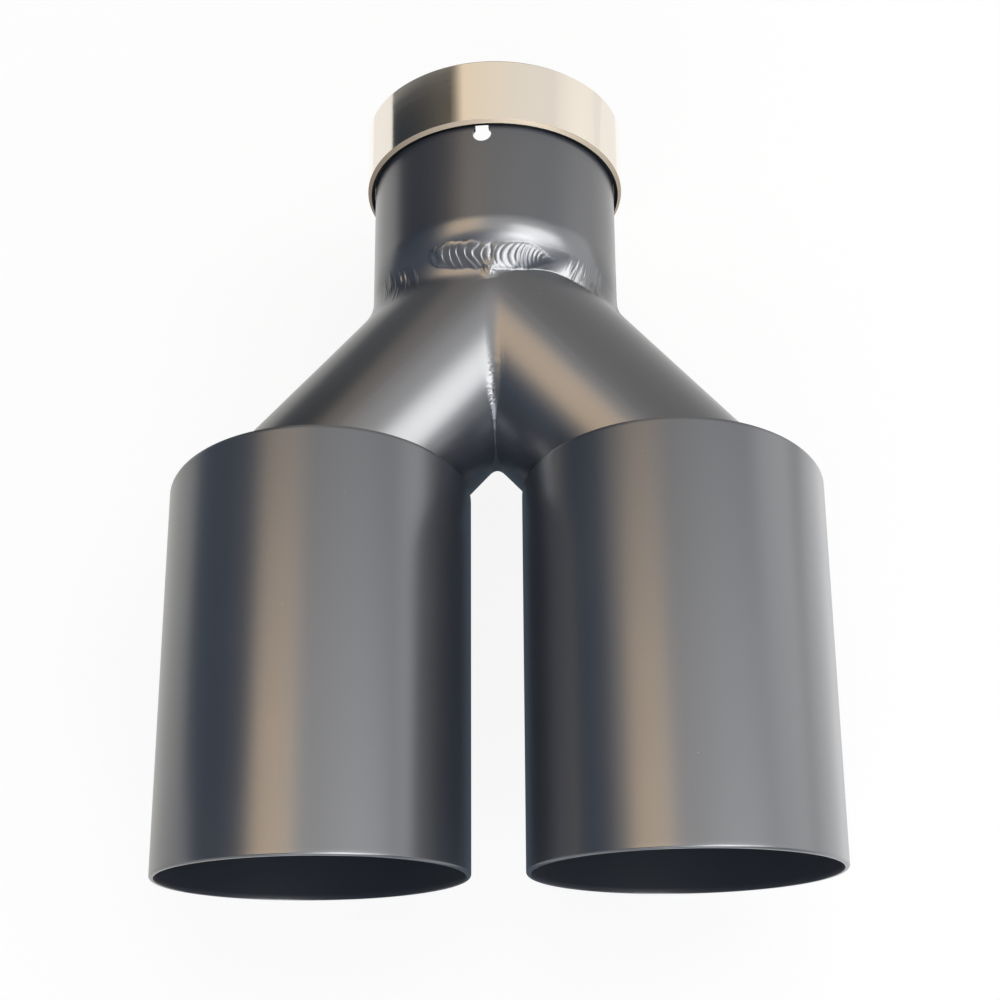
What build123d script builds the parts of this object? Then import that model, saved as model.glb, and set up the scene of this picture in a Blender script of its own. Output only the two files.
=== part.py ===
"""Twin exhaust tip: a slotted slip-on inlet, a mitred Y of two pipes and two slash-cut outlet shells.

Millimetres. X runs across the pair of outlets, +Y runs from the outlets to the inlet, +Z is up.
The part lies on its underside: the origin is on the table, below the middle of the part.
"""
import os
from math import atan2, cos, degrees, radians, sin, sqrt, tan

from build123d import *

# Outlet shells
OUTLET_OD = 100.0
OUTLET_WALL = 1.5
OUTLET_PITCH = 117.0
OUTLET_LENGTH = 135.0
SLASH_DEG = 14.8
LIP_SHARE = 0.6

# Plates that close the rear of the shells, with a land left around the branch pipe
PLATE_THICK = 2.0
PLATE_LAND = 4.5

# Branch pipes of the Y: leaning, each fills the hole that the land leaves in its plate
BRANCH_DEG = 41.0
BRANCH_OD = (OUTLET_OD - 2 * OUTLET_WALL - 2 * PLATE_LAND) * cos(radians(BRANCH_DEG))
BRANCH_WALL = 1.5
BRANCH_STICK_IN = 3.0

# Inlet sleeve, round at the mouth and pressed in above and below where it is welded to the Y
SLEEVE_OD = 83.8
SLEEVE_WALL = 1.6
INLET_REACH = 284.0
PRESS_LENGTH = 9.0
PRESS_DROP = 3.9
PRESS_SECTIONS = 4
SLOT_WIDTH = 4.5
SLOT_HOLE_D = 6.3
SLOT_DEPTH = 29.5
SLOT_TURN_DEG = 4.0

# Clamp band around the slotted mouth
BAND_THICK = 2.4
BAND_WIDTH = 26.5
BAND_PLAY = 0.3
BAND_EDGE_SHARE = 0.7
EAR_GAP = 5.0
EAR_BEND = 3.0
EAR_MARGIN = 4.4

# Clamp screw and nut
SCREW_D = 5.0
SCREW_PLAY = 0.25
HEAD_D = 8.5
HEAD_LENGTH = 5.0
HEAD_ROOM = 0.3
SOCKET_AF = 4.0
SOCKET_DEPTH = 2.5
NUT_AF = 8.0
NUT_LENGTH = 4.0
SCREW_TAIL = 2.0

# Weld beads, and how far the Y stands out at the sides of the sleeve that the first one joins it to
JOINT_LAP = 0.36
NECK_BEAD_WIDTH = 8.5
NECK_BEAD_CROWN = 0.8
NECK_BEAD_STEP = 0.3
SEAM_BEAD_WIDTH = 3.0
SEAM_BEAD_HEIGHT = 1.6
PLATE_BEAD_LEG = 2.2

# Derived radii
outlet_r = OUTLET_OD / 2
branch_r = BRANCH_OD / 2
sleeve_r = SLEEVE_OD / 2
outlet_x = OUTLET_PITCH / 2
slash = radians(SLASH_DEG)
lean = radians(BRANCH_DEG)

# The clamp band's middle line, and the screw that draws its ears together below the sleeve
band_r = sleeve_r + BAND_PLAY + BAND_THICK / 2
ear_x = EAR_GAP / 2 + BAND_THICK / 2
bend_drop = sqrt((band_r + EAR_BEND) ** 2 - (ear_x + EAR_BEND) ** 2)
screw_drop = bend_drop + max(HEAD_D, NUT_AF) / 2 + HEAD_ROOM
ear_end = screw_drop + EAR_MARGIN

# The table is level with the lowest piece: the shells, or the ears or the screw of the clamp
axis_z = max(outlet_r, ear_end, screw_drop + max(HEAD_D, NUT_AF) / 2)

# Stations along Y, from the middle of the slash-cut outlets
slash_rise = outlet_r * tan(slash)
outlet_y = (slash_rise - INLET_REACH) / 2
rear_y = outlet_y + OUTLET_LENGTH
inlet_y = outlet_y + INLET_REACH
cross_y = rear_y - PLATE_THICK / 2 + outlet_x / tan(lean)

# The Y is cut off square where it is a little wider than the sleeve, and the bead runs from there to it
joint_width = sleeve_r + JOINT_LAP
joint_rise = (branch_r / cos(lean) - joint_width) / tan(lean)
joint_depth = sqrt(branch_r**2 - (joint_rise * sin(lean)) ** 2)
joint_y = cross_y + joint_rise
sleeve_y = joint_y + NECK_BEAD_WIDTH

# The sleeve's end is pressed in along an arc that starts level with its wall
end_depth = sleeve_r - PRESS_DROP
press_r = (PRESS_LENGTH**2 + PRESS_DROP**2) / (2 * PRESS_DROP)


def across(x, y):
    """Plane square to the tubes at station y, looking towards the inlet."""
    return Plane(origin=(x, y, axis_z), x_dir=(1, 0, 0), z_dir=(0, 1, 0))


def along_branch(side):
    """Plane square to a branch pipe, where its axis crosses the axis of the sleeve."""
    return Plane(origin=(0, cross_y, axis_z), x_dir=(0, 0, 1), z_dir=(side * sin(lean), -cos(lean), 0))


def mitre(side):
    """Middle plane between the branch pipes, facing the given side."""
    return Plane(origin=(0, cross_y, axis_z), x_dir=(0, 1, 0), z_dir=(side, 0, 0))


def pressed(share, inset):
    """Half width and half depth of the sleeve at a share of the pressed length, 0 where it is round."""
    drop = press_r - sqrt(press_r**2 - (share * PRESS_LENGTH) ** 2)
    return sleeve_r - inset, sleeve_r - drop - inset


joint_plane = across(0, joint_y)
slash_plane = Plane(origin=(0, outlet_y, axis_z), x_dir=(1, 0, 0), z_dir=(0, cos(slash), sin(slash)))
press_steps = [1 - i / PRESS_SECTIONS for i in range(PRESS_SECTIONS + 1)]
pipe_reach = OUTLET_LENGTH + OUTLET_PITCH

os.makedirs("parts", exist_ok=True)

# Inlet sleeve: straight tube, pressed oval end, and two keyhole slots cut through in one pass
with BuildPart() as inlet_sleeve:
    for share in press_steps:
        with BuildSketch(across(0, sleeve_y + (1 - share) * PRESS_LENGTH)):
            Ellipse(*pressed(share, 0))
    loft()
    for share in press_steps:
        with BuildSketch(across(0, sleeve_y + (1 - share) * PRESS_LENGTH)):
            Ellipse(*pressed(share, SLEEVE_WALL))
    loft(mode=Mode.SUBTRACT)
    with BuildSketch(across(0, sleeve_y + PRESS_LENGTH)):
        Circle(sleeve_r)
        Circle(sleeve_r - SLEEVE_WALL, mode=Mode.SUBTRACT)
    extrude(amount=inlet_y - sleeve_y - PRESS_LENGTH)
    turn = radians(SLOT_TURN_DEG)
    slot_plane = Plane(origin=(0, inlet_y, axis_z), x_dir=(0, -1, 0), z_dir=(-sin(turn), 0, cos(turn)))
    with BuildSketch(slot_plane):
        with Locations((SLOT_DEPTH / 2, 0)):
            Rectangle(SLOT_DEPTH, SLOT_WIDTH)
        with Locations((SLOT_DEPTH, 0)):
            Circle(SLOT_HOLE_D / 2)
    extrude(amount=SLEEVE_OD, both=True, mode=Mode.SUBTRACT)
inlet_sleeve.part.label = "inlet_sleeve"
export_step(inlet_sleeve.part, "parts/inlet_sleeve.step")

# The left and right halves: branch pipe, outlet shell, back plate and the weld between pipe and plate
foot_x = (cross_y - rear_y) * tan(lean)
foot_width = branch_r / cos(lean)
cores = []
for name, side in (("left", -1), ("right", 1)):
    # Solid form of the branch pipe, which plates and welds are cut to fit
    with BuildPart() as core:
        with BuildSketch(along_branch(side)):
            Circle(branch_r)
        extrude(amount=pipe_reach, both=True)
        split(bisect_by=mitre(side), keep=Keep.TOP)
        split(bisect_by=joint_plane, keep=Keep.BOTTOM)
    cores.append(core.part)

    # Branch pipe, mitred against its twin, cut square under the sleeve and just inside the plate
    with BuildPart() as branch_pipe:
        with BuildSketch(along_branch(side)):
            Circle(branch_r)
            Circle(branch_r - BRANCH_WALL, mode=Mode.SUBTRACT)
        extrude(amount=pipe_reach, both=True)
        split(bisect_by=mitre(side), keep=Keep.TOP)
        split(bisect_by=joint_plane, keep=Keep.BOTTOM)
        split(bisect_by=across(0, rear_y - PLATE_THICK - BRANCH_STICK_IN), keep=Keep.TOP)
    branch_pipe.part.label = f"{name}_branch_pipe"
    export_step(branch_pipe.part, f"parts/{name}_branch_pipe.step")

    # Outlet shell: a plain tube, slash cut with the longer side on top, the cut's outer edge bevelled
    with BuildPart() as outlet_shell:
        with BuildSketch(across(side * outlet_x, outlet_y - 2 * slash_rise)):
            Circle(outlet_r)
            Circle(outlet_r - OUTLET_WALL, mode=Mode.SUBTRACT)
        extrude(amount=OUTLET_LENGTH + 2 * slash_rise)
        split(bisect_by=slash_plane, keep=Keep.TOP)
        cut_edges = outlet_shell.edges().sort_by(Axis.Y)[:2]
        chamfer(cut_edges.sort_by(SortBy.LENGTH)[-1], LIP_SHARE * OUTLET_WALL)
    outlet_shell.part.label = f"{name}_outlet_shell"
    export_step(outlet_shell.part, f"parts/{name}_outlet_shell.step")

    # Back plate, set flush in the rear of the shell and cut out for the branch pipe
    with BuildPart() as back_plate:
        with BuildSketch(across(side * outlet_x, rear_y - PLATE_THICK)):
            Circle(outlet_r - OUTLET_WALL)
        extrude(amount=PLATE_THICK)
        add(core.part, mode=Mode.SUBTRACT)
    back_plate.part.label = f"{name}_back_plate"
    export_step(back_plate.part, f"parts/{name}_back_plate.step")

    # Fillet weld around the pipe where it enters the plate
    with BuildPart() as plate_weld:
        with BuildLine(across(side * foot_x, rear_y)) as foot:
            EllipticalCenterArc((0, 0), foot_width, branch_r, arc_size=360)
        with BuildSketch(Plane(foot.line @ 0, x_dir=(1, 0, 0), z_dir=foot.line % 0)):
            Rectangle(PLATE_BEAD_LEG * sqrt(2), PLATE_BEAD_LEG * sqrt(2), rotation=45)
        sweep(path=foot.wires()[0])
        split(bisect_by=across(0, rear_y), keep=Keep.TOP)
        add(core.part, mode=Mode.SUBTRACT)
    plate_weld.part.label = f"{name}_plate_weld"
    export_step(plate_weld.part, f"parts/{name}_plate_weld.step")

# Weld around the oval joint: it carries the form of the Y over into that of the sleeve
with BuildPart() as neck_weld:
    with BuildSketch(across(0, joint_y)):
        Ellipse(joint_width + NECK_BEAD_STEP, joint_depth + NECK_BEAD_STEP)
    with BuildSketch(across(0, joint_y + NECK_BEAD_WIDTH / 2)):
        Ellipse((joint_width + sleeve_r) / 2, (joint_depth + end_depth) / 2 + NECK_BEAD_CROWN)
    with BuildSketch(across(0, sleeve_y)):
        Ellipse(sleeve_r, end_depth)
    loft()
    with BuildSketch(across(0, joint_y)):
        Ellipse(joint_width - SLEEVE_WALL, joint_depth - SLEEVE_WALL)
    with BuildSketch(across(0, sleeve_y)):
        Ellipse(sleeve_r - SLEEVE_WALL, end_depth - SLEEVE_WALL)
    loft(mode=Mode.SUBTRACT)
neck_weld.part.label = "neck_weld"
export_step(neck_weld.part, "parts/neck_weld.step")

# Weld along the mitre of the two branch pipes, from the sleeve through the crotch and up the other side
with BuildPart() as seam_weld:
    with BuildLine(mitre(1)) as seam:
        EllipticalCenterArc((0, 0), branch_r / sin(lean), branch_r, start_angle=80, arc_size=200)
    with BuildSketch(Plane(seam.line @ 0, x_dir=(1, 0, 0), z_dir=seam.line % 0)):
        Ellipse(SEAM_BEAD_WIDTH / 2, SEAM_BEAD_HEIGHT / 2)
    sweep(path=seam.wires()[0])
    split(bisect_by=joint_plane, keep=Keep.BOTTOM)
    add(cores, mode=Mode.SUBTRACT)
seam_weld.part.label = "seam_weld"
export_step(seam_weld.part, "parts/seam_weld.step")

# Clamp band: a strip with rounded outer edges bent around the sleeve, its two ears turned out below
band_y = inlet_y - BAND_WIDTH / 2
bend_turn = degrees(atan2(bend_drop, ear_x + EAR_BEND))
with BuildPart() as clamp_band:
    with BuildLine(Plane(origin=(0, band_y, axis_z), x_dir=(1, 0, 0), z_dir=(0, -1, 0))) as band:
        Line((-ear_x, -ear_end), (-ear_x, -bend_drop))
        CenterArc((-ear_x - EAR_BEND, -bend_drop), EAR_BEND, 0, bend_turn)
        CenterArc((0, 0), band_r, 180 + bend_turn, -180 - 2 * bend_turn)
        CenterArc((ear_x + EAR_BEND, -bend_drop), EAR_BEND, 180 - bend_turn, bend_turn)
        Line((ear_x, -bend_drop), (ear_x, -ear_end))
    with BuildSketch(Plane(origin=(-ear_x, band_y, axis_z - ear_end), x_dir=(1, 0, 0), z_dir=(0, 0, 1))):
        strip = Rectangle(BAND_THICK, BAND_WIDTH)
        fillet(strip.vertices().sort_by(Axis.X)[:2], BAND_EDGE_SHARE * BAND_THICK)
    sweep(path=band.wires()[0])
    with BuildSketch(Plane(origin=(0, band_y, axis_z - screw_drop), x_dir=(0, 1, 0), z_dir=(1, 0, 0))):
        Circle(SCREW_D / 2 + SCREW_PLAY)
    extrude(amount=EAR_GAP / 2 + 2 * BAND_THICK, both=True, mode=Mode.SUBTRACT)
clamp_band.part.label = "clamp_band"
export_step(clamp_band.part, "parts/clamp_band.step")

# Clamp screw: socket head on the right ear, shank through both ears
head_x = EAR_GAP / 2 + BAND_THICK
screw_plane = Plane(origin=(head_x, band_y, axis_z - screw_drop), x_dir=(0, 1, 0), z_dir=(1, 0, 0))
with BuildPart() as clamp_screw:
    with BuildSketch(screw_plane):
        Circle(HEAD_D / 2)
    extrude(amount=HEAD_LENGTH)
    with BuildSketch(screw_plane):
        Circle(SCREW_D / 2)
    extrude(amount=-(2 * head_x + NUT_LENGTH + SCREW_TAIL))
    with BuildSketch(screw_plane.offset(HEAD_LENGTH)):
        RegularPolygon(SOCKET_AF / 2, 6, major_radius=False)
    extrude(amount=-SOCKET_DEPTH, mode=Mode.SUBTRACT)
clamp_screw.part.label = "clamp_screw"
export_step(clamp_screw.part, "parts/clamp_screw.step")

# Clamp nut, seated on the left ear
with BuildPart() as clamp_nut:
    with BuildSketch(screw_plane.offset(-2 * head_x)):
        RegularPolygon(NUT_AF / 2, 6, major_radius=False)
        Circle(SCREW_D / 2, mode=Mode.SUBTRACT)
    extrude(amount=-NUT_LENGTH)
clamp_nut.part.label = "clamp_nut"
export_step(clamp_nut.part, "parts/clamp_nut.step")
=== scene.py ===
# %% [markdown]
# # Twin exhaust tip
# A slip-on tip for a car's exhaust. One inlet sleeve, slotted and held by a polished band, divides into
# two leaning pipes, and each pipe ends in a large slash-cut shell. Everything but the band is coated a
# satin black. The CAD model gives every piece its place and size. This lesson gives them their looks: it
# models again the pieces whose edges and ripples matter, and it paints all of them.

# %% Load the frame
import math
import bmesh
import bpy
from mathutils import Euler, Matrix, Vector, noise


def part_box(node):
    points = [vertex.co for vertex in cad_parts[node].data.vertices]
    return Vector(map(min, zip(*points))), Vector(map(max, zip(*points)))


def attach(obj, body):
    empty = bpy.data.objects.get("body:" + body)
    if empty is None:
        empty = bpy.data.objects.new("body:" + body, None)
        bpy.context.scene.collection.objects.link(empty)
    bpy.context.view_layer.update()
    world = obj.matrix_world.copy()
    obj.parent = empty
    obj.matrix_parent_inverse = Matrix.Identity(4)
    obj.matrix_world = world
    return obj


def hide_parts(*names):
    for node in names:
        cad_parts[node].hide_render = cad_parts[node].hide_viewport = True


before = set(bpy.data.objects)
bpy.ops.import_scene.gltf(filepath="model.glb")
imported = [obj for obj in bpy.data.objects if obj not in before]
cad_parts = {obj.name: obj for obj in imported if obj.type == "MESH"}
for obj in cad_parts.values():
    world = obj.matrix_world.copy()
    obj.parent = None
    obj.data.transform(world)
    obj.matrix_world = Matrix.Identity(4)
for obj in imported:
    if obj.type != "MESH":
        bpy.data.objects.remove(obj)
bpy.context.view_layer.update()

MM = 0.001

# %% [markdown]
# ## Three small helpers for materials
# Colours are picked on a screen as sRGB hex values, but Blender's shaders count light, which is linear, so
# one function turns the one into the other. A second function adds a node to a material, sets what is fixed
# on it and links what comes from other nodes. A third starts an empty material. With these, a material reads
# as a list of its layers.

# %% Colour and node helpers
def linear(colour):
    """Linear RGBA of an sRGB hex colour such as #363A42."""
    shares = [int(colour[place:place + 2], 16) / 255 for place in (1, 3, 5)]
    curve = [share / 12.92 if share <= 0.04045 else ((share + 0.055) / 1.055) ** 2.4 for share in shares]
    return (*curve, 1.0)


def add_node(tree, kind, inputs=None, **settings):
    """Adds a shader node, sets its options, and fills its sockets with values or other nodes' outputs."""
    made = tree.nodes.new("ShaderNode" + kind)
    for option, value in settings.items():
        setattr(made, option, value)
    for socket, value in (inputs or {}).items():
        if isinstance(value, bpy.types.NodeSocket):
            tree.links.new(value, made.inputs[socket])
        else:
            made.inputs[socket].default_value = value
    return made


def new_material(name):
    """An empty node material and its tree."""
    material = bpy.data.materials.new(name)
    material.use_nodes = True
    material.node_tree.nodes.clear()
    return material, material.node_tree


print("satin black in linear light:", [round(share, 4) for share in linear("#363A42")[:3]])

# %% [markdown]
# ## Satin black ceramic coat
# The tubes are stainless steel with a sprayed ceramic coat, baked hard so that it bears the heat. Sprayed
# paint levels into a very fine orange peel: it spreads each reflection softly, so that the tubes show broad
# bands of light with no sharp edges. The pigment is black with a trace of blue, and a few dust specks were
# caught in it. A clear skin on top brightens the tubes towards their edges. On the beads behind the shells
# the coat gathers in the corner and dries a little glossier.

# %% Ceramic coat
PEEL_WIDTH = 1.4 * MM      # real peel is about half as wide, too fine to show in the render
PEEL_DEPTH = 0.004 * MM
CLOUD_WIDTH = 45 * MM
SPECK_SPACING = 13 * MM
SPECK_RADIUS = 0.22 * MM
COAT_COLOUR = "#363A42"
SPECK_COLOUR = "#A9A59C"
COAT_IOR = 1.85
SKIN_WEIGHT = 0.5          # the clear skin on the pigment
NOISE_LOW = 0.3            # almost all of a noise texture lies between these two values
NOISE_HIGH = 0.7


def ceramic_coat(name, roughness, spread):
    """Sprayed black coat: fine peel, slow changes of gloss, and a few pale specks."""
    material, tree = new_material(name)
    place = add_node(tree, "TexCoord").outputs["Object"]
    peel = add_node(tree, "TexNoise", {"Vector": place, "Scale": 1 / PEEL_WIDTH, "Detail": 1.0})
    bump = add_node(tree, "Bump", {"Height": peel.outputs["Fac"], "Distance": PEEL_DEPTH})
    cloud = add_node(tree, "TexNoise", {"Vector": place, "Scale": 1 / CLOUD_WIDTH, "Detail": 3.0})
    gloss = add_node(tree, "MapRange", {
        "Value": cloud.outputs["Fac"], "From Min": NOISE_LOW, "From Max": NOISE_HIGH,
        "To Min": roughness - spread, "To Max": roughness + spread})
    dust = add_node(tree, "TexVoronoi", {"Vector": place, "Scale": 1 / SPECK_SPACING})
    speck = add_node(tree, "MapRange", {
        "Value": dust.outputs["Distance"], "From Min": SPECK_RADIUS / SPECK_SPACING, "From Max": 0.0,
        "To Min": 0.0, "To Max": 1.0})
    paint = add_node(tree, "Mix", {
        "Factor": speck.outputs["Result"], 6: linear(COAT_COLOUR), 7: linear(SPECK_COLOUR)},
        data_type="RGBA")
    shader = add_node(tree, "BsdfPrincipled", {
        "Base Color": paint.outputs[2], "Roughness": gloss.outputs["Result"], "IOR": COAT_IOR,
        "Coat Weight": SKIN_WEIGHT, "Coat Roughness": roughness, "Normal": bump.outputs["Normal"]})
    add_node(tree, "OutputMaterial", {"Surface": shader.outputs["BSDF"]})
    return material


tube_coat = ceramic_coat("satin_black_ceramic_coat", 0.295, 0.015)
weld_coat = ceramic_coat("ceramic_coat_over_weld", 0.235, 0.03)
print("coats made:", tube_coat.name, weld_coat.name)

# %% [markdown]
# ## Stainless and zinc-plated steel
# The band is stainless strip, buffed almost to a mirror with a wheel that ran around it. The screw and the
# nut are plain steel under a thin grey coat of zinc. Metal has no colour of its own under the shine: all that
# shows is the room, a little tinted. Fine lines around the band spread that picture slightly along the band's
# width. One function makes every steel here, from its tint, its roughness and the depth of its lines.

# %% Steels
BUFF_LINE = 0.5 * MM       # real lines are finer than a tenth of this, too fine to show
BUFF_DEPTH = 0.0006 * MM
LINE_SQUEEZE = 0.02        # the noise is drawn out to lines by this much
HAZE_SPREAD = 0.15


def steel(name, colour, roughness, line_depth):
    """Bare steel: a metal whose fine lines run around the Y axis."""
    material, tree = new_material(name)
    place = add_node(tree, "TexCoord").outputs["Object"]
    lines = add_node(tree, "Mapping", {"Vector": place, "Scale": (LINE_SQUEEZE, 1.0, LINE_SQUEEZE)})
    grain = add_node(tree, "TexNoise", {
        "Vector": lines.outputs["Vector"], "Scale": 1 / BUFF_LINE, "Detail": 2.0})
    bump = add_node(tree, "Bump", {"Height": grain.outputs["Fac"], "Distance": line_depth})
    haze = add_node(tree, "MapRange", {
        "Value": grain.outputs["Fac"], "From Min": NOISE_LOW, "From Max": NOISE_HIGH,
        "To Min": roughness * (1 - HAZE_SPREAD), "To Max": roughness * (1 + HAZE_SPREAD)})
    shader = add_node(tree, "BsdfPrincipled", {
        "Base Color": linear(colour), "Metallic": 1.0, "Roughness": haze.outputs["Result"],
        "Normal": bump.outputs["Normal"]})
    add_node(tree, "OutputMaterial", {"Surface": shader.outputs["BSDF"]})
    return material


band_steel = steel("buffed_stainless_steel", "#FFF8EE", 0.11, BUFF_DEPTH)
screw_steel = steel("zinc_plated_steel", "#C4C7CA", 0.24, BUFF_DEPTH)
print("steels made:", band_steel.name, screw_steel.name)

# %% [markdown]
# ## Paint the CAD pieces
# The sleeve, the branch pipes and the back plates are plain rolled and pressed shapes, and the CAD model
# already has them right. They stay as they are and only get their finish. Every other CAD piece is modelled
# again below, and gives its box or its mesh to the piece that takes its place.

# %% Finish of the CAD pieces
kept_nodes = ("inlet_sleeve", "left_branch_pipe", "right_branch_pipe", "left_back_plate", "right_back_plate")
for node in kept_nodes:
    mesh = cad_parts[node].data
    mesh.materials.clear()
    mesh.materials.append(tube_coat)
print("painted CAD pieces:", len(kept_nodes))

# %% [markdown]
# ## Outlet shells
# Each shell is a plain drawn tube, sawn off at a slant and dressed by hand, so that the outer edge of its
# mouth is a small round that catches a line of light. A cylinder and a Solidify modifier give the tube.
# Bisect is the saw, and Bridge closes the open wall that it leaves. Bevel then rounds the edges: more on
# the outside of the mouth, a hair elsewhere. The second shell is a copy, moved to its place.

# %% Shell sizes and helpers
TOUCH = 0.01 * MM          # places nearer to each other than this count as one
ROUND_SMOOTH = math.radians(35)    # faces that meet at less than this are shaded as one surface
EDGED_SMOOTH = math.radians(30)    # the same for pieces with crisp edges

shell_low, shell_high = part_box("left_outlet_shell")
plate_low, plate_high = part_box("left_back_plate")
shell_radius = (shell_high.z - shell_low.z) / 2
shell_wall = shell_radius - (plate_high.z - plate_low.z) / 2
shell_axis = Vector(((shell_low.x + shell_high.x) / 2, 0, (shell_low.z + shell_high.z) / 2))
SLASH = math.radians(14.8)
slash_rise = shell_radius * math.tan(SLASH)
slash_point = Vector((shell_axis.x, shell_low.y + slash_rise, shell_axis.z))
slash_normal = Vector((0, math.cos(SLASH), math.sin(SLASH)))


def select_edges(test):
    """Selects, in edit mode, the edges whose two ends both pass a test on their place."""
    mesh = bmesh.from_edit_mesh(bpy.context.object.data)
    for edge in mesh.edges:
        edge.select_set(all(test(vertex.co) for vertex in edge.verts))
    mesh.select_flush_mode()
    bmesh.update_edit_mesh(bpy.context.object.data)


def from_axis(place):
    """Distance of a point from the shell's axis."""
    return math.hypot(place.x - shell_axis.x, place.z - shell_axis.z)


def on_cut(place):
    """True on the sawn mouth."""
    return abs((place - slash_point).dot(slash_normal)) < TOUCH


def apply_modifier(kind, **settings):
    """Adds a modifier to the active object, sets it and applies it."""
    modifier = bpy.context.object.modifiers.new(kind, kind)
    for option, value in settings.items():
        setattr(modifier, option, value)
    bpy.ops.object.modifier_apply(modifier=modifier.name)


def dress(piece, node, finish):
    """Gives a new piece its finish and puts it in the place of its CAD node."""
    piece.data.materials.clear()
    piece.data.materials.append(finish)
    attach(piece, "root")
    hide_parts(node)
    print(piece.name, "has", sum(len(face.vertices) - 2 for face in piece.data.polygons), "triangles")


print("shell radius and wall in mm:", round(shell_radius / MM, 2), round(shell_wall / MM, 2))

# %% Outlet shells
SHELL_SIDES = 192
LIP_ROUND = 0.95 * MM
EDGE_ROUND = 0.2 * MM
SUPPORT_STEP = 1.2 * MM

bpy.ops.object.select_all(action="DESELECT")
rough_length = shell_high.y - shell_low.y + slash_rise
bpy.ops.mesh.primitive_cylinder_add(
    vertices=SHELL_SIDES, radius=shell_radius, depth=rough_length, end_fill_type="NOTHING",
    location=(shell_axis.x, shell_high.y - rough_length / 2, shell_axis.z), rotation=(math.pi / 2, 0, 0))
left_shell = bpy.context.object
left_shell.name = "left_shell"
bpy.ops.object.transform_apply()
apply_modifier("SOLIDIFY", thickness=shell_wall, offset=-1.0, use_even_offset=True)
bpy.ops.object.mode_set(mode="EDIT")
bpy.ops.mesh.select_mode(type="EDGE")
bpy.ops.mesh.select_all(action="SELECT")
bpy.ops.mesh.bisect(plane_co=slash_point, plane_no=slash_normal, clear_inner=True)
select_edges(on_cut)
bpy.ops.mesh.bridge_edge_loops()
for step in (LIP_ROUND + SUPPORT_STEP, LIP_ROUND + 2 * SUPPORT_STEP):
    bpy.ops.mesh.select_all(action="SELECT")
    bpy.ops.mesh.bisect(plane_co=slash_point + slash_normal * step, plane_no=slash_normal)
bpy.ops.mesh.select_all(action="SELECT")
bpy.ops.mesh.bisect(plane_co=(0, shell_high.y - SUPPORT_STEP, 0), plane_no=(0, 1, 0))
middle_radius = shell_radius - shell_wall / 2
select_edges(lambda place: on_cut(place) and from_axis(place) > middle_radius)
bpy.ops.mesh.bevel(offset=LIP_ROUND, segments=6, affect="EDGES")
select_edges(lambda place: on_cut(place) and from_axis(place) < middle_radius)
bpy.ops.mesh.bevel(offset=EDGE_ROUND, segments=2, affect="EDGES")
select_edges(lambda place: abs(place.y - shell_high.y) < TOUCH and from_axis(place) > middle_radius)
bpy.ops.mesh.bevel(offset=EDGE_ROUND, segments=2, affect="EDGES")
bpy.ops.object.mode_set(mode="OBJECT")
bpy.ops.object.shade_smooth_by_angle(angle=ROUND_SMOOTH)

bpy.ops.object.duplicate()
right_shell = bpy.context.object
right_shell.name = "right_shell"
bpy.ops.transform.translate(value=(-2 * shell_axis.x, 0, 0))
bpy.ops.object.transform_apply()
dress(left_shell, "left_outlet_shell", tube_coat)
dress(right_shell, "right_outlet_shell", tube_coat)

# %% [markdown]
# ## Clamp band
# The band is cut from polished strip and rolled to a ring. A file breaks its two outer edges to flat chamfers
# and leaves them satin, so that they show as narrow pale lines beside the mirror. The sawn edge that faces
# the Y is painted dark: this is painted shade, standing in for the shadow below the band that the edge would
# reflect. The ring is modelled as it is rolled: the strip's section is a plane with two bevelled corners, and
# Spin carries it around the sleeve. The ears below are bent with round edges. They come from the CAD band: a
# copy of it is merged into one skin, and two Bisects keep only its lowest part, between the ends of the ring.

# %% Band ears
MERGE = 0.001 * MM
band_low, band_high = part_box("clamp_band")
band_radius = (band_high.x - band_low.x) / 2
RING_END = math.radians(150)
ring_centre = Vector((0, (band_low.y + band_high.y) / 2, shell_axis.z))

ears = bpy.data.objects.new("band_ears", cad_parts["clamp_band"].data.copy())
bpy.context.collection.objects.link(ears)
bpy.ops.object.select_all(action="DESELECT")
ears.select_set(True)
bpy.context.view_layer.objects.active = ears
bpy.ops.mesh.customdata_custom_splitnormals_clear()
bpy.ops.object.mode_set(mode="EDIT")
bpy.ops.mesh.select_all(action="SELECT")
bpy.ops.mesh.remove_doubles(threshold=MERGE)
for side in (1, -1):
    bpy.ops.mesh.select_all(action="SELECT")
    bpy.ops.mesh.bisect(
        plane_co=ring_centre, plane_no=(side * math.cos(RING_END), 0, -math.sin(RING_END)),
        clear_inner=True, use_fill=True)
bpy.ops.mesh.select_all(action="SELECT")
bpy.ops.mesh.normals_make_consistent(inside=False)
bpy.ops.object.mode_set(mode="OBJECT")
print("faces of the ears:", len(ears.data.polygons))

# %% Band ring
BAND_WALL = 2.4 * MM
CHAMFER = 1.2 * MM
RING_STEPS = 240

bpy.ops.object.select_all(action="DESELECT")
ring_out = Vector((-math.sin(RING_END), 0, math.cos(RING_END)))
bpy.ops.mesh.primitive_plane_add(
    size=1, location=ring_centre + ring_out * (band_radius - BAND_WALL / 2),
    rotation=(0, math.pi / 2 - RING_END, 0))
band = bpy.context.object
band.name = "polished_band"
band.scale = (BAND_WALL, band_high.y - band_low.y, 1)
bpy.ops.object.transform_apply()
bpy.ops.object.mode_set(mode="EDIT")
bpy.ops.mesh.select_mode(type="EDGE")
select_edges(lambda place: math.hypot(place.x, place.z - ring_centre.z) > band_radius - TOUCH)
bpy.ops.mesh.bevel(offset=CHAMFER, segments=1, affect="VERTICES")
bpy.ops.mesh.select_all(action="SELECT")
bpy.ops.mesh.spin(steps=RING_STEPS, angle=-2 * RING_END, center=ring_centre, axis=(0, 1, 0))
bpy.ops.mesh.select_all(action="SELECT")
bpy.ops.mesh.remove_doubles(threshold=MERGE)
bpy.ops.mesh.normals_make_consistent(inside=False)
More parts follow.
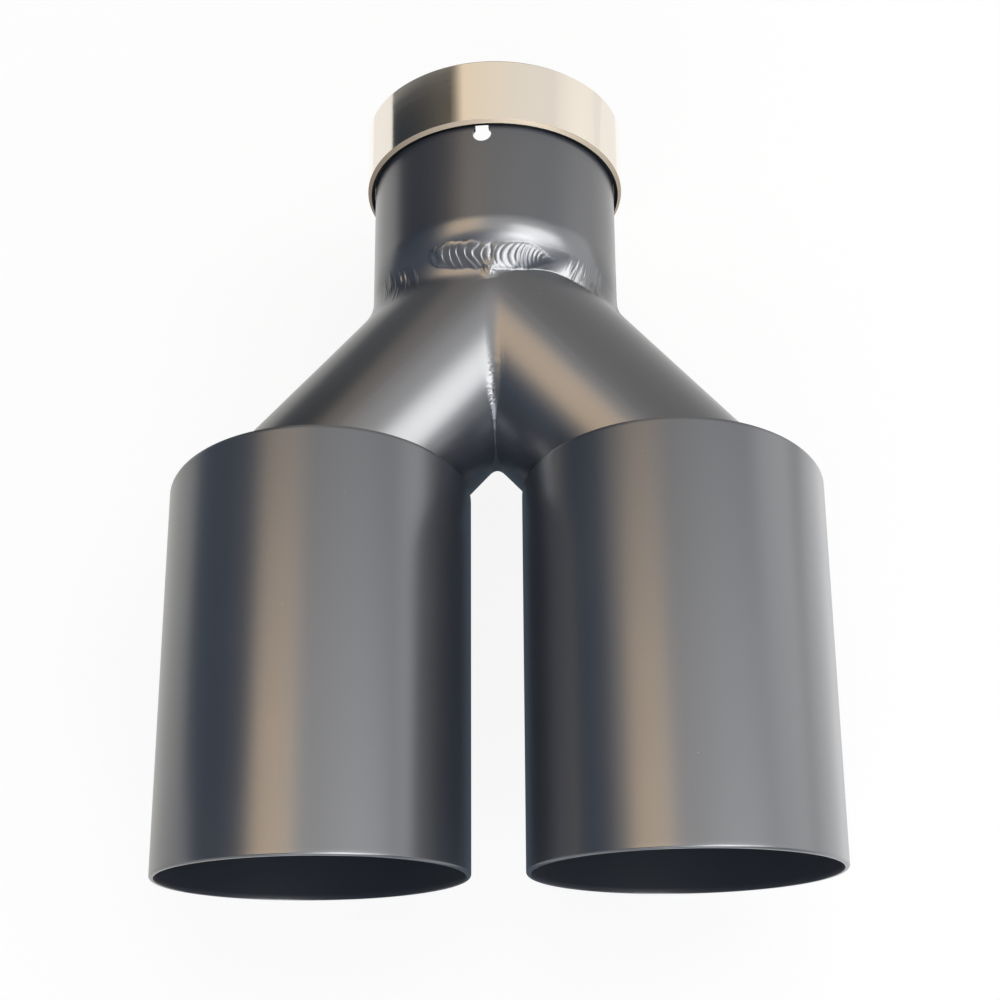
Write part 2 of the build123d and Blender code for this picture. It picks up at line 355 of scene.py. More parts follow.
bpy.ops.object.mode_set(mode="OBJECT")
ears.select_set(True)
bpy.ops.object.join()
bpy.ops.object.shade_smooth_by_angle(angle=EDGED_SMOOTH)
dress(band, "clamp_band", band_steel)

# %% Filed and sawn edges of the band
FILED_FACING = (0.6, 0.8)  # share of a chamfer's normal that points along Y
SAWN_FACING = -0.99
edge_steel = steel("filed_stainless_steel", "#A2988A", 0.7, 0.0)
# The dark colour of the sawn edge is painted shade, standing in for the shadow below the band that it would
# reflect.
painted_shade_steel = steel("sawn_edge_painted_shade", "#24272B", 0.45, 0.0)
band.data.materials.append(edge_steel)
band.data.materials.append(painted_shade_steel)
for face in band.data.polygons:
    turned = abs(math.atan2(face.center.x, face.center.z - ring_centre.z))
    if turned < RING_END and FILED_FACING[0] < abs(face.normal.y) < FILED_FACING[1]:
        face.material_index = 1
    elif turned < RING_END and face.normal.y < SAWN_FACING:
        face.material_index = 2
finishes = [face.material_index for face in band.data.polygons]
print("filed faces:", finishes.count(1), "and sawn faces:", finishes.count(2))

# %% [markdown]
# ## Tools for the welds
# A hand weld is laid drop upon drop, and each drop freezes as a crescent that half covers the one before. No
# tool in Blender lays such a bead. So a flat grid is wrapped around a joint by a formula, and the same
# formula raises each vertex by the height of the bead there. These helpers wrap the grid and shape the
# heights: a hump, a smooth rise, the slow wander of a hand, and the crescents.

# %% Weld helpers
WELD_SMOOTH = math.radians(60)


def wrapped_grid(name, along, across, place):
    """A grid whose vertices are carried onto a surface by place(u, v), u along it and v across it."""
    bpy.ops.object.select_all(action="DESELECT")
    bpy.ops.mesh.primitive_grid_add(x_subdivisions=along, y_subdivisions=across, size=1)
    sheet = bpy.context.object
    sheet.name = name
    for vertex in sheet.data.vertices:
        vertex.co = place(vertex.co.x + 0.5, vertex.co.y + 0.5)
    bpy.ops.object.mode_set(mode="EDIT")
    bpy.ops.mesh.select_all(action="SELECT")
    bpy.ops.mesh.remove_doubles(threshold=MERGE)
    bpy.ops.object.mode_set(mode="OBJECT")
    return sheet


def swell(value, middle, width):
    """A smooth hump of height 1 around a middle."""
    return math.exp(-((value - middle) / width) ** 2)


def smooth_step(value, low, high):
    """0 below low, 1 above high, and a smooth rise between them."""
    share = min(1.0, max(0.0, (value - low) / (high - low)))
    return share * share * (3 - 2 * share)


def wander(run, size, seed):
    """Slow unevenness of a hand-laid bead, from -1 to 1, about as long as size."""
    return noise.noise(Vector((run / size, seed, 0.5)))


def crescents(run, share, pitch, bow):
    """Height from 0 to 1 of the drops of a bead, at a run along it and a share from -1 to 1 across it."""
    phase = (run + bow * wander(run, 3 * pitch, 7.3) - bow * share * share) / pitch
    return abs(math.sin(math.pi * phase)) ** 0.8


print("weld helpers ready")

# %% [markdown]
# ## Neck weld
# The sleeve is welded to the Y all the way round its pressed, oval end. First come the surfaces under the
# weld: the outside of the branch pipes, the outside of the sleeve, and an easy curve that leads from the one
# to the other. Then come the beads on it. In front the bead is full and its crescents show, beside it the
# coat hides them, and at the sides they are short strokes. Last, a grid is wrapped around with both, and
# Solidify gives the sheet the tube's wall. Its rims sink into the pipes and the sleeve, so no edge shows.

# %% Surfaces of the neck
sleeve_low, sleeve_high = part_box("inlet_sleeve")
neck_low, neck_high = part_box("neck_weld")
branch_low, branch_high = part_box("left_branch_pipe")
seam_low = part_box("seam_weld")[0]
axis_z = shell_axis.z
sleeve_radius = (sleeve_high.x - sleeve_low.x) / 2
branch_radius = (branch_high.z - branch_low.z) / 2
LEAN = math.radians(41)
SEAM_PROUD = 0.8 * MM
seam_reach = branch_radius / math.sin(LEAN)
cross_y = seam_low.y + SEAM_PROUD + seam_reach
PRESS_LENGTH = 9 * MM
press_drop = sleeve_radius - (neck_high.z - neck_low.z) / 2
press_radius = (PRESS_LENGTH ** 2 + press_drop ** 2) / (2 * press_drop)
SLOPE_STEP = 0.1 * MM      # the surfaces' slopes are measured over this


def pipe_reach(turn, y):
    """Distance from the sleeve's axis to the outside of the branch pipes, at an angle from the top."""
    side = abs(math.sin(turn)) * math.sin(LEAN)
    rise = y - cross_y
    square = 1 - side * side
    half = side * rise * math.cos(LEAN)
    rest = (rise * math.sin(LEAN)) ** 2 - branch_radius ** 2
    return (math.sqrt(half * half - square * rest) - half) / square


def sleeve_reach(turn, y):
    """Distance from the sleeve's axis to its outside, which is pressed oval towards the Y."""
    into = max(0.0, neck_high.y + PRESS_LENGTH - y)
    depth = sleeve_radius - press_radius + math.sqrt(press_radius ** 2 - into ** 2)
    return 1 / math.hypot(math.sin(turn) / sleeve_radius, math.cos(turn) / depth)


def neck_ground(turn, y, low, crease):
    """The joint under the bead: an easy curve from the pipes, at low, to the end of the sleeve. It leaves
    the pipes smoothly with a crease of 0, and at a plain corner with a crease of 1."""
    width = neck_high.y - low
    share = (y - low) / width
    if share >= 1:
        return sleeve_reach(turn, y)
    start = pipe_reach(turn, low)
    end = sleeve_reach(turn, neck_high.y)
    start_slope = (start - pipe_reach(turn, low - SLOPE_STEP)) / SLOPE_STEP
    start_slope += crease * ((end - start) / width - start_slope)
    end_slope = (sleeve_reach(turn, neck_high.y + SLOPE_STEP) - end) / SLOPE_STEP
    square, cube = share * share, share ** 3
    return ((2 * cube - 3 * square + 1) * start + (cube - 2 * square + share) * width * start_slope
            + (3 * square - 2 * cube) * end + (cube - square) * width * end_slope)


print("sleeve and pipe at the top of the joint, from the axis in mm:",
      round(sleeve_reach(0, neck_high.y) / MM, 2), round(pipe_reach(0, neck_low.y) / MM, 2))

# %% Beads of the neck
BEAD_START = -0.12         # both halves of the front bead reach past its middle by this share of their run
LEFT_RUN = 23 * MM
LEFT_HALF = 0.46           # widths and places across the joint are shares of its width
LEFT_MIDDLE = 0.56
LEFT_CLIMB = 0.24
FOLD_PITCH = 2.9 * MM
FOLD_BOW = 2.6 * MM
RIGHT_RUN = 24 * MM
RIGHT_HALF = 0.4
RIGHT_MIDDLE = 0.54
RIGHT_CLIMB = 0.16
RIGHT_PITCH = 1.85 * MM
RIGHT_BOW = 2.3 * MM
FRONT_END = 60             # degrees from the top, where the front bead's region ends
BACK_START = (95, 110)     # degrees from the top, between which the bead on the far side grows
BACK_HALF = 0.45
BACK_PITCH = 2.3 * MM
BACK_BOW = 3.0 * MM
OVAL_MEAN = 0.9            # mean radius of the oval joint, as a share of the sleeve's
STROKE_TURN = 54           # degrees from the top
STROKE_SPREAD = 9
STROKE_GAP = 0.8 * MM
STROKE_HEIGHT = 0.8 * MM


def left_bead(run, share):
    """The left half of the front bead: an uneven roll of metal with a few folds that overlap like scales."""
    along = -run / LEFT_RUN
    if along < BEAD_START or along > 1:
        return 0.0
    half = LEFT_HALF * math.sqrt(1 - max(0.0, along) ** 4) + 0.05 * wander(run, 3 * MM, 4.1)
    across = (share - LEFT_MIDDLE - LEFT_CLIMB * along) / max(half, 0.05)
    if abs(across) >= 1:
        return 0.0
    warp = 1.6 * MM * noise.noise(Vector((run / (4 * MM), across, 9.4)))
    fold = (run + warp - FOLD_BOW * across * across) / FOLD_PITCH % 1.0
    ends = smooth_step(along, BEAD_START, 0.1) * (1 - smooth_step(along, 0.8, 1.0))
    roll = (1 - across * across) ** 0.7 * ends
    return roll * (0.85 + 0.2 * wander(run, 6 * MM, 2.2) + 0.3 * fold * smooth_step(1 - fold, 0.0, 0.12))


def right_bead(run, share):
    """The right half of the front bead: even crescents in a lens that runs out to a tip."""
    along = run / RIGHT_RUN
    if along < BEAD_START or along > 1:
        return 0.0
    taper = 1 - smooth_step(along, 0.45, 1.0)
    across = (share - RIGHT_MIDDLE - RIGHT_CLIMB * along) / (0.04 + RIGHT_HALF * taper)
    if abs(across) >= 1:
        return 0.0
    dome = (1 - across * across) ** 0.7 * smooth_step(along, BEAD_START, 0.06)
    return dome * (taper + 0.2 * taper ** 0.4 * crescents(run, across, RIGHT_PITCH, RIGHT_BOW))


def neck_bead(turn, share):
    """Height of the bead on the joint. share runs across it, 0 at the pipes and 1 at the sleeve."""
    run = turn * sleeve_radius * OVAL_MEAN
    side = abs(math.degrees(turn))
    if side < FRONT_END:
        return max(left_bead(run, share), right_bead(run, share)) * MM
    across = (share - 0.5) / BACK_HALF
    if abs(across) >= 1:
        return 0.0
    drops = 0.5 + 0.3 * crescents(abs(run), across, BACK_PITCH, BACK_BOW)
    return smooth_step(side, *BACK_START) * (1 - across * across) ** 0.8 * drops * MM


def neck_strokes(turn, share):
    """Fine strokes along Y at the two sides of the joint, where the torch was drawn away."""
    side = abs(math.degrees(turn))
    run = turn * sleeve_radius
    where = swell(side, STROKE_TURN, STROKE_SPREAD)
    where *= swell(share, 0.4 + 0.35 * wander(run, 1.1 * MM, 6.1), 0.5)
    lines = noise.noise(Vector((run / STROKE_GAP, share * 1.6, 2.5)))
    return STROKE_HEIGHT * where * max(0.0, lines)


print("bead's height at the top of the neck in mm:", round(neck_bead(0, 0.5) / MM, 2))

# %% Neck weld
TUBE_WALL = 1.6 * MM
SHEET_LIFT = 0.03 * MM
SHEET_SINK = 0.1 * MM
RIM = 2 * MM
TOE_DROP = 1.5             # in mm, how far the joint reaches below the CAD weld at the top
LEFT_DROP = 1.5            # in mm, how much further on the left
SIDE_DROP = 4              # in mm, how much further at the two sides
RIGHT_RISE = 3.5           # in mm, how far the pipes reach up into it on the right
RIGHT_PEAK = 2.5           # in mm, and how much further at one place there
KNOT_TURN = -1.6           # degrees from the top
KNOT_TURN_SPREAD = 3.6
KNOT_SHARE = 0.1
KNOT_SHARE_SPREAD = 0.26
KNOT_HEIGHT = 1.0 * MM
KNOT_GRAIN = 0.9 * MM


def neck_place(u, v):
    """Point of the neck weld: u once around from below, v from the Y up to the sleeve. The joint spreads
    further down on the left, and on the right the pipes reach up into it and meet it at a corner."""
    turn = (u - 0.5) * 2 * math.pi
    left = smooth_step(-turn, 0, 0.25) * (1 - smooth_step(-turn, 2.4, 3.0))
    right = RIGHT_RISE * smooth_step(turn, 0.05, 0.3) * (1 - smooth_step(turn, 0.9, 1.3))
    right += RIGHT_PEAK * swell(turn, 0.65, 0.25)
    low = neck_low.y - (TOE_DROP + LEFT_DROP * left - right + SIDE_DROP * math.sin(turn) ** 2) * MM
    foot = min(low, neck_low.y)
    y = foot - RIM + v * (neck_high.y + 2 * RIM - foot)
    share = (y - neck_low.y) / (neck_high.y - neck_low.y)
    knot = KNOT_HEIGHT * swell(math.degrees(turn), KNOT_TURN, KNOT_TURN_SPREAD)
    knot *= swell(share, KNOT_SHARE, KNOT_SHARE_SPREAD)
    knot *= 1 + 0.3 * noise.noise(Vector((turn * sleeve_radius, y, 0)) / KNOT_GRAIN)
    sink = SHEET_SINK * max(0.0, (foot - y) / RIM, (y - neck_high.y) / RIM)
    crease = smooth_step(right, 1, 4)
    ground = pipe_reach(turn, y) if y < low else neck_ground(turn, y, low, crease)
    reach = ground + SHEET_LIFT - sink + neck_bead(turn, share) + neck_strokes(turn, share) + knot
    return Vector((reach * math.sin(turn), y, axis_z + reach * math.cos(turn)))


neck = wrapped_grid("neck_bead", 1200, 40, neck_place)
apply_modifier("SOLIDIFY", thickness=TUBE_WALL, offset=-1.0)
bpy.ops.object.shade_smooth_by_angle(angle=WELD_SMOOTH)
dress(neck, "neck_weld", tube_coat)

# %% [markdown]
# ## Seam weld
# The two branch pipes are mitred against each other, and a bead fills the valley between them. Near the
# sleeve the valley is shallow and the bead is wide, and towards the crotch, where the valley is steep, it
# narrows. Just below the crotch it widens again and rounds the corner. The seam is an ellipse, because that
# is what a slanted cut through a round pipe gives, and the bead is a wrapped grid that follows it.

# %% Seam weld
SEAM_START = math.radians(88)
SEAM_SWEEP = math.radians(184)
SEAM_SHEET = 0.5 * MM
SEAM_STEP = 0.05 * MM      # the valley's slope is measured over this
SEAM_MEAN = 1.2            # mean radius of the seam, as a share of the branch pipe's
SEAM_HALF = 0.8            # in mm, half the bead's width where it is narrow
CORNER_HALF = 1.7          # in mm, added where it rounds the corner
VALLEY_HALF = 2.2          # in mm, added where the valley is shallow
CORNER_DROP = 18           # degrees below the crotch at which the bead rounds the corner
CORNER_SPREAD = 15


def above_seam(foot, out, side):
    """How far the branch pipe stands above the seam's own line, at a distance to the side of it."""
    axis = Vector((math.sin(LEAN), -math.cos(LEAN), 0))
    place = foot - Vector((0, cross_y, axis_z)) + Vector((abs(side), 0, 0))
    place -= axis * place.dot(axis)
    rise = out - axis * out.dot(axis)
    half = place.dot(rise)
    square = rise.length_squared
    rest = place.length_squared - branch_radius ** 2
    return (math.sqrt(half * half - square * rest) - half) / square


def seam_place(u, v):
    """Point of the seam bead: u from the sleeve through the crotch to the far side, v across the valley."""
    turn = SEAM_START + u * SEAM_SWEEP
    foot = Vector((0, cross_y + seam_reach * math.cos(turn), axis_z + branch_radius * math.sin(turn)))
    out = Vector((0, math.cos(turn) * math.sin(LEAN), math.sin(turn))).normalized()
    run = u * SEAM_SWEEP * branch_radius * SEAM_MEAN
    below_crotch = math.degrees(turn) - 180
    from_crotch = abs(below_crotch)
    corner = CORNER_HALF * swell(below_crotch, CORNER_DROP, CORNER_SPREAD)
    width = SEAM_HALF + corner + VALLEY_HALF * smooth_step(from_crotch, 18, 50)
    half = width * MM * (1 + 0.12 * wander(run, 2.2 * MM, 5.5))
    side = (2 * v - 1) * (half + RIM)
    if abs(side) > half:
        sink = SHEET_SINK * (abs(side) - half) / RIM
        return foot + Vector((side, 0, 0)) + out * (above_seam(foot, out, side) + SHEET_LIFT - sink)
    across = side / half
    edge = above_seam(foot, out, half)
    slope = (edge - above_seam(foot, out, half - SEAM_STEP)) / SEAM_STEP
    fill = edge + slope * half * (across * across - 1) / 2
    rough = swell(from_crotch, 42, 15) * smooth_step(-across, -0.3, 0.2)
    drops = noise.noise(Vector((side / (1.1 * MM), run / (0.7 * MM), 4.2)))
    rise = (0.03 + 0.18 * rough * drops) * MM * (1 - across * across) ** 2
    return foot + Vector((side, 0, 0)) + out * (fill + rise + SHEET_LIFT)


seam = wrapped_grid("seam_bead", 800, 32, seam_place)
apply_modifier("SOLIDIFY", thickness=SEAM_SHEET, offset=-1.0)
bpy.ops.object.shade_smooth_by_angle(angle=WELD_SMOOTH)
dress(seam, "seam_weld", tube_coat)

# %% [markdown]
# ## Plate welds
# Behind each shell a flat plate closes it, and the branch pipe passes through the plate at a slant. The bead
# in the corner runs round an ellipse: a slanted pipe meets a flat plate in one. It is a wrapped grid again,
# from its toe on the plate to its toe on the pipe. The left one is made, and the right one is its mirror.

# %% Plate welds
weld_low, weld_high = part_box("left_plate_weld")
plate_leg = weld_high.y - weld_low.y
foot_width = (weld_high.x - weld_low.x) / 2 - plate_leg
foot_middle = Vector(((weld_low.x + weld_high.x) / 2, weld_low.y, axis_z))
PLATE_SHEET = 0.6 * MM
PLATE_PITCH = 2.1 * MM
PLATE_BOW = 1.8 * MM
PLATE_MEAN = 0.88          # mean radius of the ellipse, as a share of its longer one


def plate_place(u, v):
    """Point of the left plate weld: u once around the pipe, v from the plate to the pipe."""
    turn = (u - 0.5) * 2 * math.pi
    around = Vector((math.sin(turn), 0, math.cos(turn)))
    ellipse = Vector((foot_width * around.x, 0, branch_radius * around.z))
    on_plate = foot_middle + ellipse + around * plate_leg
    on_pipe = foot_middle + ellipse + Vector((plate_leg * math.tan(LEAN), plate_leg, 0))
    run = abs(turn) * foot_width * PLATE_MEAN
    drops = 0.25 + 0.28 * crescents(run, 1 - 2 * v, PLATE_PITCH, PLATE_BOW)
    height = drops * MM * 4 * v * (1 - v)
    crown = (around + Vector((0, 1, 0))).normalized() * height
    return on_plate.lerp(on_pipe, v) + crown - Vector((0, 0.5 * height, 0))


left_weld = wrapped_grid("left_plate_bead", 720, 12, plate_place)
apply_modifier("SOLIDIFY", thickness=PLATE_SHEET, offset=-1.0)
bpy.ops.object.shade_smooth_by_angle(angle=WELD_SMOOTH)
bpy.ops.object.duplicate()
right_weld = bpy.context.object
right_weld.name = "right_plate_bead"
bpy.ops.transform.mirror(constraint_axis=(True, False, False), center_override=(0, 0, 0))
bpy.ops.object.transform_apply()
bpy.ops.object.mode_set(mode="EDIT")
bpy.ops.mesh.select_all(action="SELECT")
bpy.ops.mesh.normals_make_consistent(inside=False)
bpy.ops.object.mode_set(mode="OBJECT")
dress(left_weld, "left_plate_weld", weld_coat)
dress(right_weld, "right_plate_weld", weld_coat)

# %% [markdown]
# ## Clamp screw and nut
# Below the sleeve the band's two ears are drawn together by a small zinc-plated screw with a hexagon socket
# and a plain nut. The head and the nut start as cylinders, a Boolean cuts the socket and the bore, and
# another one trims the nut's corners as a lathe would. The thread is a wrapped grid: its radius rises and
# falls along the screw, a little later at each step around it, and that makes the helix.

# %% Sizes and tools of the screw
screw_low, screw_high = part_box("clamp_screw")
nut_low, nut_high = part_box("clamp_nut")
screw_axis = (screw_low + screw_high) / 2
HEAD_LENGTH = 5 * MM
HEAD_ROUND = 0.35 * MM
SOCKET_FLATS = 4 * MM
SOCKET_DEPTH = 2.5 * MM
THREAD_RADIUS = 2.5 * MM
THREAD_PITCH = 0.8 * MM
THREAD_DEPTH = 0.45 * MM
TAIL_CHAMFER = 0.6 * MM
THREAD_IN_HEAD = 0.5 * MM
thread_end = screw_high.x - HEAD_LENGTH + THREAD_IN_HEAD


def bar_along_x(name, sides, radius, low, high, bevel):
    """A closed bar along the screw's axis between two places on it, with its end rims bevelled."""
    bpy.ops.object.select_all(action="DESELECT")
    bpy.ops.mesh.primitive_cylinder_add(
        vertices=sides, radius=radius, depth=high - low,
        location=((low + high) / 2, screw_axis.y, screw_axis.z), rotation=(0, math.pi / 2, 0))
    bar = bpy.context.object
    bar.name = name
    bpy.ops.object.transform_apply()
    if bevel:
        bpy.ops.object.mode_set(mode="EDIT")
        bpy.ops.mesh.select_mode(type="EDGE")
        select_edges(lambda place: abs(place.x - low) < TOUCH)
        bpy.ops.mesh.bevel(offset=bevel, segments=3, affect="EDGES")
        select_edges(lambda place: abs(place.x - high) < TOUCH)
        bpy.ops.mesh.bevel(offset=bevel, segments=3, affect="EDGES")
        bpy.ops.object.mode_set(mode="OBJECT")
    return bar


def cut(piece, tool, operation):
    """Applies a Boolean with a tool object and removes the tool."""
    bpy.context.view_layer.objects.active = piece
    apply_modifier("BOOLEAN", object=tool, operation=operation, solver="EXACT")
    bpy.data.objects.remove(tool)


def thread_place(u, v):
    """Point of the thread: u from the tail to the head, v once around."""
    x = screw_low.x + u * (thread_end - screw_low.x)
    turn = v * 2 * math.pi
    tooth = abs(2 * ((x / THREAD_PITCH + v) % 1.0) - 1)
    radius = THREAD_RADIUS - THREAD_DEPTH * smooth_step(tooth, 0.1, 0.9)
    radius = min(radius, THREAD_RADIUS - TAIL_CHAMFER + (x - screw_low.x))
    return Vector((x, screw_axis.y + radius * math.sin(turn), screw_axis.z + radius * math.cos(turn)))


print("length of the thread in mm:", round((thread_end - screw_low.x) / MM, 1))

# %% Clamp screw
thread = wrapped_grid("screw_thread", 168, 40, thread_place)
bpy.ops.object.mode_set(mode="EDIT")
bpy.ops.mesh.select_mode(type="EDGE")
for end in (screw_low.x, thread_end):
    select_edges(lambda place: abs(place.x - end) < TOUCH)
    bpy.ops.mesh.edge_face_add()
bpy.ops.mesh.select_all(action="SELECT")
bpy.ops.mesh.normals_make_consistent(inside=False)
bpy.ops.object.mode_set(mode="OBJECT")
head_radius = (screw_high.y - screw_low.y) / 2
head_start = screw_high.x - HEAD_LENGTH
socket_end = screw_high.x - SOCKET_DEPTH
screw = bar_along_x("screw_with_socket", 64, head_radius, head_start, screw_high.x, HEAD_ROUND)
socket = bar_along_x("socket_tool", 6, SOCKET_FLATS / math.sqrt(3), socket_end, screw_high.x + MM, 0)
cut(screw, socket, "DIFFERENCE")
bpy.ops.object.select_all(action="DESELECT")
thread.select_set(True)
screw.select_set(True)
bpy.context.view_layer.objects.active = screw
bpy.ops.object.join()
bpy.ops.object.shade_smooth_by_angle(angle=ROUND_SMOOTH)
dress(screw, "clamp_screw", screw_steel)

# %% Clamp nut
NUT_CHAMFER = 0.55 * MM
LATHE_PLAY = 0.02 * MM
nut_corner = (nut_high.y - nut_low.y) / 2
nut = bar_along_x("hexagon_nut", 6, nut_corner, nut_low.x, nut_high.x, 0)
lathe = bar_along_x("lathe_tool", 64, nut_corner + LATHE_PLAY, nut_low.x, nut_high.x, NUT_CHAMFER)
cut(nut, lathe, "INTERSECT")
bore = bar_along_x("bore_tool", 64, THREAD_RADIUS, nut_low.x - MM, nut_high.x + MM, 0)
cut(nut, bore, "DIFFERENCE")
bpy.ops.object.select_all(action="DESELECT")
nut.select_set(True)
bpy.ops.object.shade_smooth_by_angle(angle=EDGED_SMOOTH)
dress(nut, "clamp_nut", screw_steel)

# %% [markdown]
# ## The studio
# A white floor and a white room around it. The part is dark and glossy, so most of what the eye sees on it is
# what it reflects, and the studio is built for that. The Light Path node tells the rays apart: the camera, a
# reflection and glass see a white background, while the floor still keeps a soft shadow and the room lights
# the part only a little.

# %% Floor and room
def background_rays(tree):
    """1 for the rays that see the background: from the camera, from a gloss or through glass."""
    path = add_node(tree, "LightPath")
    shiny = add_node(tree, "Math", {
        0: path.outputs["Is Camera Ray"], 1: path.outputs["Is Glossy Ray"]}, operation="ADD")
    return add_node(tree, "Math", {
        0: shiny.outputs["Value"], 1: path.outputs["Is Transmission Ray"]},
        operation="ADD", use_clamp=True).outputs["Value"]


FLOOR_LIFT = 0.85          # how much of the floor glows for those rays, the rest is plain paper
FLOOR_GLOW = 1.05
ROOM_LIGHT = 0.38
floor_material, tree = new_material("white_studio_floor")
lift = add_node(tree, "Math", {0: background_rays(tree), 1: FLOOR_LIFT}, operation="MULTIPLY")
paper = add_node(tree, "BsdfDiffuse", {"Color": linear("#F4F3F1")})
glow = add_node(tree, "Emission", {"Strength": FLOOR_GLOW})
both = add_node(tree, "MixShader", {
    0: lift.outputs["Value"], 1: paper.outputs["BSDF"], 2: glow.outputs["Emission"]})
add_node(tree, "OutputMaterial", {"Surface": both.outputs["Shader"]})
bpy.ops.object.select_all(action="DESELECT")
bpy.ops.mesh.primitive_plane_add(size=12)
floor = bpy.context.object
floor.name = "studio_floor"
floor.data.materials.append(floor_material)

world = bpy.data.worlds.new("white_room")
bpy.context.scene.world = world
world.use_nodes = True
tree = world.node_tree
tree.nodes.clear()
level = add_node(tree, "MapRange", {"Value": background_rays(tree), "To Min": ROOM_LIGHT, "To Max": 1.0})
room = add_node(tree, "Background", {"Strength": level.outputs["Result"]})
add_node(tree, "OutputWorld", {"Surface": room.outputs["Background"]})
print("floor and white room in place")

# %% [markdown]
# ## Softboxes
# Large soft lamps suit a round glossy part, because each one shows on it as a broad band. A wide neutral one
# hangs overhead and a small one stands on the right. A warm one on the left gives the sandy stripe along each
# tube. Two strong ones in front on the right, like a window, shine on the neck and on the left branch, and a
# low one in front lights the edges that face it. A lamp's place is a direction from the part: an angle around
# the tubes, and a share along them.

# %% Softboxes
TARGET = Vector((0, 0, 55)) * MM


def towards(turn, reach):
    """Unit vector at an angle around the Y axis, from overhead towards +X, with a share of it along +Y."""
    around = Vector((math.sin(math.radians(turn)), 0, math.cos(math.radians(turn))))
    return around * math.sqrt(1 - reach * reach) + Vector((0, reach, 0))


def softbox(name, turn, reach, distance, width, length, colour, radiance, lights=True):
    """A rectangular lamp that faces the part, width around it and length along Y. It adds its radiance to
    the room's, and with lights off it does so in the gloss alone."""
    bpy.ops.object.light_add(type="AREA")
    lamp = bpy.context.object
    lamp.name = name
    lamp.data.shape = "RECTANGLE"
    lamp.data.size = width
    lamp.data.size_y = length
    lamp.data.color = linear(colour)[:3]
    lamp.data.energy = radiance * math.pi * width * length
    lamp.visible_camera = False
    lamp.visible_diffuse = lights
    way = towards(turn, reach)
    across = Vector((math.cos(math.radians(turn)), 0, -math.sin(math.radians(turn))))
    lamp.location = TARGET + way * distance
    lamp.rotation_euler = Matrix((across, way.cross(across), way)).transposed().to_euler()


softbox("overhead_softbox", 24, 0.12, 2.0, 2.9, 1.65, "#FEFDFB", 1.16)
softbox("side_softbox", 83, 0.2, 0.75, 0.5, 0.65, "#FFFFFF", 1.05)
softbox("warm_softbox", -24, 0.13, 2.0, 1.0, 1.4, "#FFDAAA", 3.2, lights=False)
softbox("window_softbox", 37, -0.27, 1.9, 1.4, 1.5, "#FFFFFF", 6.0, lights=False)
softbox("front_softbox", 22, -0.55, 1.7, 0.8, 0.8, "#FFFFFF", 5.0, lights=False)
softbox("low_softbox", 10, -0.9, 1.7, 2.2, 0.7, "#F0F5FF", 3.8)

# %% [markdown]
# ## Cards
# Between the lamps and the part stand cards that show only in reflections. Dark ones on the left keep one
# side of each tube dark, and that draws its roundness. Cream and white ones behind the part fill the mirror
# of the band with plain tones. A card is a wrapped grid that glows in its own colour, so that its tone in
# the mirror is the one that was picked, whatever the lamps do.

# %% Cards
def card(name, turns, reaches, radius, colours, span=(-1.0, 1.0)):
    """A curved studio card that shows only in reflections. It stands at a radius around the part, between
    two angles around the Y axis and two reaches along it. Its colour runs along X over a span."""
    def place(u, v):
        turn = turns[0] + u * (turns[1] - turns[0])
        return TARGET + towards(turn, reaches[0] + v * (reaches[1] - reaches[0])) * radius

    sheet = wrapped_grid(name, 24, 8, place)
    material, tree = new_material(name + "_paper")
    across = add_node(tree, "SeparateXYZ", {"Vector": add_node(tree, "TexCoord").outputs["Object"]})
    share = add_node(tree, "MapRange", {
        "Value": across.outputs["X"], "From Min": span[0], "From Max": span[1]})
    tint = add_node(tree, "Mix", {
        "Factor": share.outputs["Result"], 6: linear(colours[0]), 7: linear(colours[-1])}, data_type="RGBA")
    paper = add_node(tree, "Emission", {"Color": tint.outputs[2]})
    add_node(tree, "OutputMaterial", {"Surface": paper.outputs["Emission"]})
    sheet.data.materials.append(material)
    sheet.visible_camera = False
    sheet.visible_diffuse = False
    sheet.visible_shadow = False


card("navy_card", (-96, -46), (0.1, 0.55), 0.5, ["#53677D"])
card("high_card", (-84, -46), (-0.5, 0.1), 0.5, ["#53677D"])
card("dark_card", (-97, -34), (0.55, 0.78), 0.4, ["#2A2F37", "#504E4A"], (-0.27, -0.18))
card("mid_card", (-97, -34), (0.78, 0.97), 0.4, ["#8A8A88"])
card("edge_card", (-48, -26), (0.55, 0.92), 1.3, ["#7A7266", "#DED2BF"], (-0.55, -0.43))
card("front_card", (-45, -12), (-0.8, -0.4), 0.9, ["#4A5058"])
card("right_card", (50, 90), (-0.8, -0.33), 0.9, ["#6E747B"])
card("cream_card", (-30, 60), (0.56, 0.92), 1.5, ["#DED2BF", "#DCD9D4"], (-0.5, 0.7))
card("white_card", (58, 96), (0.56, 0.92), 1.45, ["#DCD9D4", "#F4F1EC"], (0.9, 1.15))

# %% [markdown]
# ## Sheets on the floor
# The lower sides of the tubes and of the band reflect the floor. Sheets and one reflector, laid out on it,
# set those tones as the cards do. The grey and black sheets between the shells and under the crotch are
# painted
# shadow: they put the part's own shadow on the floor into the reflections, where the glowing floor shows
# none. Pale sheets beside the band and bright ones on the right, where the edge of the shell shines, set
# plain tones. The camera doesn't see them.

# %% Sheets on the floor
SHEET_HEIGHT = 0.5 * MM


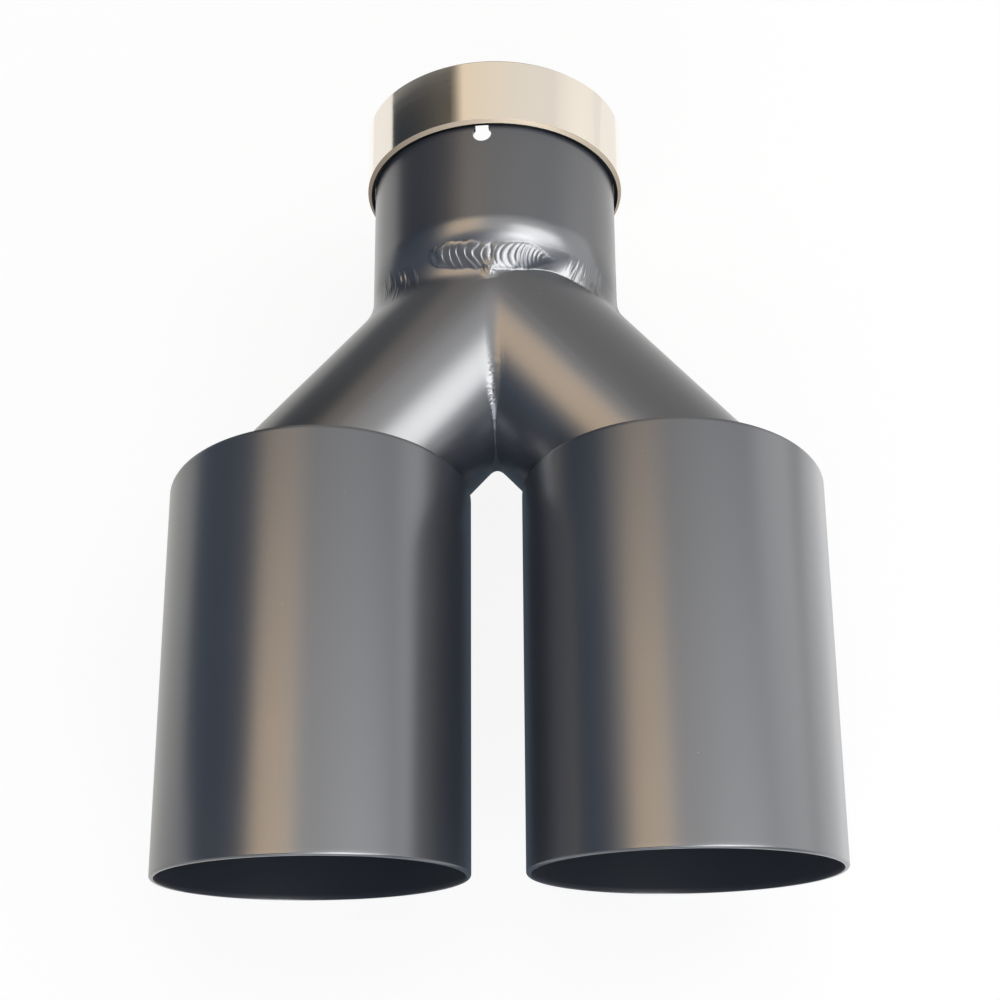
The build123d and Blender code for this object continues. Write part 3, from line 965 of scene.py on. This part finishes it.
def floor_sheet(name, low, high, colour, glow=1.0):
    """A thin sheet on the floor, between two corners in metres, that shows only in reflections."""
    material, tree = new_material(name + "_cloth")
    sheet_glow = add_node(tree, "Emission", {"Color": linear(colour), "Strength": glow})
    add_node(tree, "OutputMaterial", {"Surface": sheet_glow.outputs["Emission"]})
    middle = ((low[0] + high[0]) / 2, (low[1] + high[1]) / 2, SHEET_HEIGHT)
    bpy.ops.mesh.primitive_plane_add(size=1, location=middle)
    sheet = bpy.context.object
    sheet.name = name
    sheet.scale = (high[0] - low[0], high[1] - low[1], 1)
    sheet.data.materials.append(material)
    sheet.visible_camera = False
    sheet.visible_diffuse = False
    sheet.visible_shadow = False


# The grey and the black sheet are painted shadow, for the part's shadow on the floor under the shells and the
# crotch.
floor_sheet("grey_painted_shadow_sheet", (-0.05, -0.17), (0.05, 0.04), "#55606C")
floor_sheet("black_painted_shadow_sheet", (-0.055, 0.04), (0.055, 0.125), "#14161A")
floor_sheet("left_cloth", (-0.7, 0.42), (-0.06, 1.4), "#A8A296")
floor_sheet("cream_cloth", (-0.45, -0.3), (-0.09, 0.4), "#EDEBE7")
floor_sheet("right_cloth", (0.1, 0.27), (0.34, 0.8), "#E6E4E1")
floor_sheet("near_cloth", (0.08, 0.12), (0.34, 0.27), "#F0EEEA")
floor_sheet("far_cloth", (0.34, 0.12), (1.6, 1.6), "#EEEBE6")
floor_sheet("white_reflector", (0.14, -0.2), (0.42, 0.12), "#FFFFFF", 1.45)
print("sheets laid out")

# %% [markdown]
# ## The camera
# The part lies on the floor and the camera looks down on it from the outlets' side with a long lens, as in
# the photograph. Its place, its turn and its lens were fitted to the outlines of the tubes there.

# %% Camera
CAMERA_PLACE = Vector((27.453, -493.6, 911.8)) * MM
CAMERA_TURN = (29.882, 1.757, -0.3714)
SENSOR_WIDTH = 36.0        # in mm, as the lens is
LENS = 107.13
bpy.ops.object.camera_add(location=CAMERA_PLACE)
camera = bpy.context.object
camera.name = "photo_camera"
camera.rotation_mode = "ZXY"
camera.rotation_euler = Euler([math.radians(turn) for turn in CAMERA_TURN], "ZXY")
camera.data.sensor_width = SENSOR_WIDTH
camera.data.lens = LENS
bpy.context.scene.camera = camera
bpy.context.scene.view_settings.view_transform = "Standard"
print("camera lens in mm:", round(camera.data.lens, 1))
